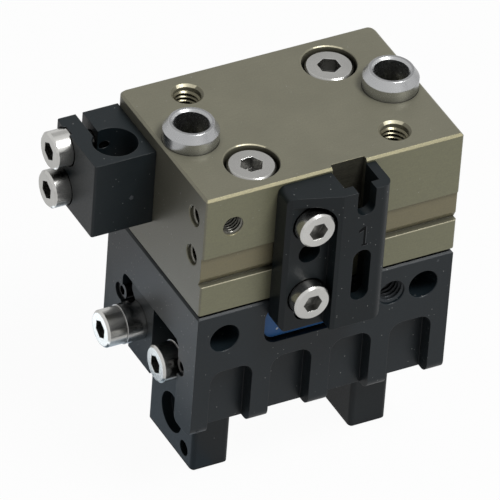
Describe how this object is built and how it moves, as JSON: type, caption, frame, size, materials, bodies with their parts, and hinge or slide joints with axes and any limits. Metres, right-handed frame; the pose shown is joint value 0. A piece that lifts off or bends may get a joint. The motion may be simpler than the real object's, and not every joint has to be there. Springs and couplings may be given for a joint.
{
  "type": "parallel gripper",
  "caption": "Pneumatic parallel gripper: bronze-grey housing with two fingers on roller guides, blue plate, sensor bracket and clamp.",
  "frame": {"origin": "centre of the mounting face", "axes": "+Z out of the mounting face; fingers point to -Z and move along X; nameplate faces -Y"},
  "size_m": [0.052, 0.033, 0.0575],
  "materials": {
    "hard_anodised": "matte bronze-grey hard anodised",
    "bracket_black": "satin black",
    "plate_blue": "satin blue foil",
    "jaw_steel": "dark nitrided",
    "sleeve_steel": "ground",
    "screw_steel": "bright",
    "bare_steel": "ground",
    "cage_steel": "rolled sheet",
    "bare_aluminium": "turned",
    "bushing_bronze": "turned",
    "magnet": "matte",
    "seal_rubber": "matte",
    "gasket": "matte"
  },
  "bodies": {
    "housing": {"cylinder_housing": "hard_anodised", "joint_gasket": "gasket", "centring_sleeve_left": "sleeve_steel", "centring_sleeve_right": "sleeve_steel", "housing_screw_front": "screw_steel", "housing_screw_rear": "screw_steel", "guide_housing": "hard_anodised", "rod_bushing": "bushing_bronze", "rod_seal": "seal_rubber", "cage_stop_screws": "screw_steel", "nameplate": "plate_blue", "sensor_bracket": "bracket_black", "bracket_screw_upper": "screw_steel", "bracket_screw_lower": "screw_steel", "sensor_clamp": "bracket_black", "clamp_screw_upper": "screw_steel", "clamp_screw_lower": "screw_steel"},
    "piston": {"piston_rod": "bare_steel", "piston_seal": "seal_rubber", "piston_magnet": "magnet", "piston_cap": "bare_aluminium", "piston_cap_screw": "screw_steel", "wedge_hook": "jaw_steel", "hook_screw": "screw_steel"},
    "jaw_left": {"jaw_left": "jaw_steel", "cam_sleeve_rear": "bare_steel", "cam_sleeve_front": "bare_steel", "cam_screw_rear": "screw_steel", "cam_screw_front": "screw_steel"},
    "jaw_right": {"jaw_right": "jaw_steel"},
    "cage_left_front": {"roller_cage_left_front": "cage_steel", "rollers_left_front": "bare_steel"},
    "cage_left_rear": {"roller_cage_left_rear": "cage_steel", "rollers_left_rear": "bare_steel"},
    "cage_right_front": {"roller_cage_right_front": "cage_steel", "rollers_right_front": "bare_steel"},
    "cage_right_rear": {"roller_cage_right_rear": "cage_steel", "rollers_right_rear": "bare_steel"}
  },
  "joints": [
    {"name": "jaw_left_slide", "type": "slide", "parent": "housing", "child": "jaw_left", "axis": [-1, 0, 0], "range_m": [0, 0.006]},
    {"name": "jaw_right_slide", "type": "slide", "parent": "housing", "child": "jaw_right", "axis": [1, 0, 0], "range_m": [0, 0.006]},
    {"name": "piston_slide", "type": "slide", "parent": "housing", "child": "piston", "axis": [0, 0, -1], "range_m": [0, 0.0072]},
    {"name": "cage_left_front_slide", "type": "slide", "parent": "housing", "child": "cage_left_front", "axis": [-1, 0, 0], "range_m": [0, 0.003]},
    {"name": "cage_left_rear_slide", "type": "slide", "parent": "housing", "child": "cage_left_rear", "axis": [-1, 0, 0], "range_m": [0, 0.003]},
    {"name": "cage_right_front_slide", "type": "slide", "parent": "housing", "child": "cage_right_front", "axis": [1, 0, 0], "range_m": [0, 0.003]},
    {"name": "cage_right_rear_slide", "type": "slide", "parent": "housing", "child": "cage_right_rear", "axis": [1, 0, 0], "range_m": [0, 0.003]}
  ],
  "couplings": [
    {"joint": "jaw_right_slide", "follows": "jaw_left_slide", "ratio": 1},
    {"joint": "piston_slide", "follows": "jaw_left_slide", "ratio": 1.2},
    {"joint": "cage_left_front_slide", "follows": "jaw_left_slide", "ratio": 0.5},
    {"joint": "cage_left_rear_slide", "follows": "jaw_left_slide", "ratio": 0.5},
    {"joint": "cage_right_front_slide", "follows": "jaw_left_slide", "ratio": 0.5},
    {"joint": "cage_right_rear_slide", "follows": "jaw_left_slide", "ratio": 0.5}
  ]
}
